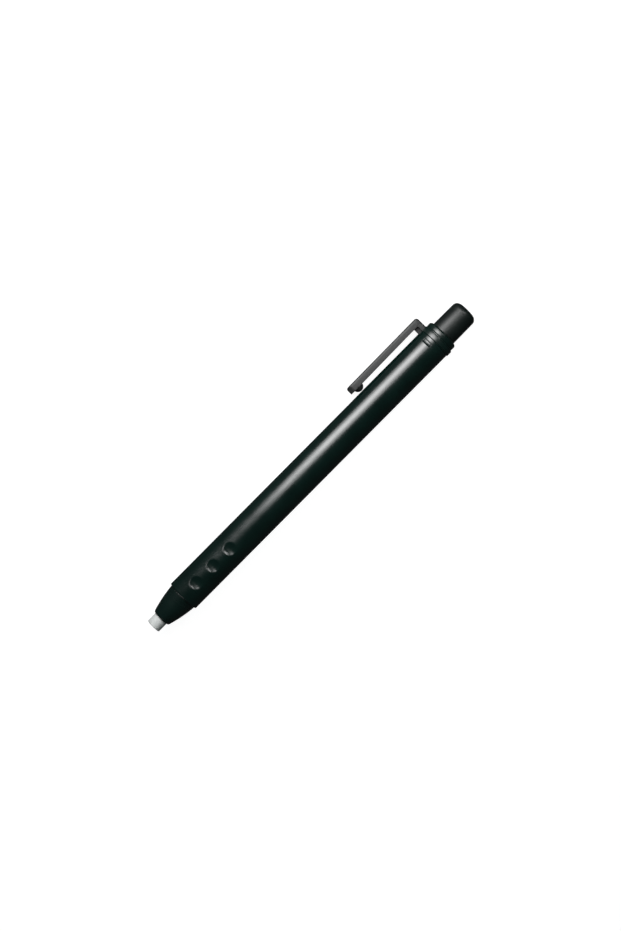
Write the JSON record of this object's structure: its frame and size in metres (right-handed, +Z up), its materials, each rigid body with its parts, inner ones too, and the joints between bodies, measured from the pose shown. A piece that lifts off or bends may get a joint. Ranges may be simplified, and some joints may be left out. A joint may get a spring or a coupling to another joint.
{
  "type": "pencil eraser stick",
  "caption": "Pen-shaped push-button holder for a stick of eraser, with finger dimples, a tapered nose, a pocket clip and a spring-loaded chuck.",
  "frame": {"origin": "on the barrel's axis, at the middle of its plain cylinder", "axes": "+X along the axis towards the push button, +Z up as it lies on a table, with the clip down on the +Y side"},
  "size_m": [0.1437, 0.0157, 0.0118],
  "materials": {
    "barrel_black": "satin gloss, black with a faint green cast",
    "nose_black": "satin black",
    "clip_grey": "satin dark grey",
    "button_black": "satin grey black",
    "eraser_white": "matt, slightly worn at the tip",
    "retainer_rubber": "soft, matt",
    "ring_brass": "turned",
    "acetal": "natural, slightly waxy",
    "tube_white": "semi-matt moulding",
    "spring_steel": "drawn wire"
  },
  "bodies": {
    "barrel": {"barrel": "barrel_black", "clutch_sleeve": "acetal", "return_spring": "spring_steel", "end_collar": "barrel_black", "clip_ring": "barrel_black", "clip_root": "clip_grey"},
    "retainer": {"tip_retainer": "retainer_rubber"},
    "nose": {"nose_cone": "nose_black"},
    "plunger": {"tube_joint": "acetal", "chuck_root": "acetal", "magazine_tube": "tube_white"},
    "ring": {"clutch_ring": "ring_brass"},
    "jaw_1": {"chuck_jaw_1": "acetal"},
    "jaw_2": {"chuck_jaw_2": "acetal"},
    "jaw_3": {"chuck_jaw_3": "acetal"},
    "eraser": {"eraser_stick": "eraser_white"},
    "button": {"push_button": "button_black"},
    "clip": {"clip_arm": "clip_grey"}
  },
  "joints": [
    {"name": "button_press", "type": "slide", "parent": "barrel", "child": "plunger", "axis": [-1, 0, 0], "range_m": [0, 0.0035], "stiffness_N_per_m": 600, "springref_m": -0.006, "deforming": ["return_spring"]},
    {"name": "ring_slide", "type": "slide", "parent": "barrel", "child": "ring", "axis": [-1, 0, 0], "range_m": [0, 0.002]},
    {"name": "jaw_1_open", "type": "hinge", "parent": "plunger", "child": "jaw_1", "pos_m": [-0.0232, 0.00232, 0.00166], "axis": [0, 0.5815, -0.8136], "range_deg": [0, 1.6]},
    {"name": "jaw_2_open", "type": "hinge", "parent": "plunger", "child": "jaw_2", "pos_m": [-0.0232, -0.00259, 0.00118], "axis": [0, 0.4138, 0.9104], "range_deg": [0, 1.6]},
    {"name": "jaw_3_open", "type": "hinge", "parent": "plunger", "child": "jaw_3", "pos_m": [-0.0232, 0.00028, -0.00284], "axis": [0, -0.9953, -0.0968], "range_deg": [0, 1.6]},
    {"name": "eraser_feed", "type": "slide", "parent": "plunger", "child": "eraser", "axis": [-1, 0, 0], "range_m": [-0.00375, 0.0776]},
    {"name": "button_pull", "type": "slide", "parent": "plunger", "child": "button", "axis": [1, 0, 0], "range_m": [0, 0.008]},
    {"name": "clip_lift", "type": "hinge", "parent": "barrel", "child": "clip", "pos_m": [0.07265, 0.00797, -0.00362], "axis": [0, -0.4138, -0.9104], "range_deg": [0, 5], "stiffness_Nm_per_rad": 1.2},
    {"name": "nose_slide", "type": "slide", "parent": "barrel", "child": "retainer", "axis": [-1, 0, 0], "range_m": [0, 0.005]},
    {"name": "nose_turn", "type": "hinge", "parent": "retainer", "child": "nose", "pos_m": [-0.05075, 0, 0], "axis": [-1, 0, 0], "range_deg": [0, 1440]}
  ],
  "couplings": [
    {"joint": "ring_slide", "follows": "button_press", "ratio": 0.5714},
    {"joint": "jaw_1_open", "follows": "button_press", "rad_per_m": 7.97},
    {"joint": "jaw_2_open", "follows": "button_press", "rad_per_m": 7.97},
    {"joint": "jaw_3_open", "follows": "button_press", "rad_per_m": 7.97},
    {"joint": "nose_turn", "follows": "nose_slide", "rad_per_m": 5026.5}
  ]
}
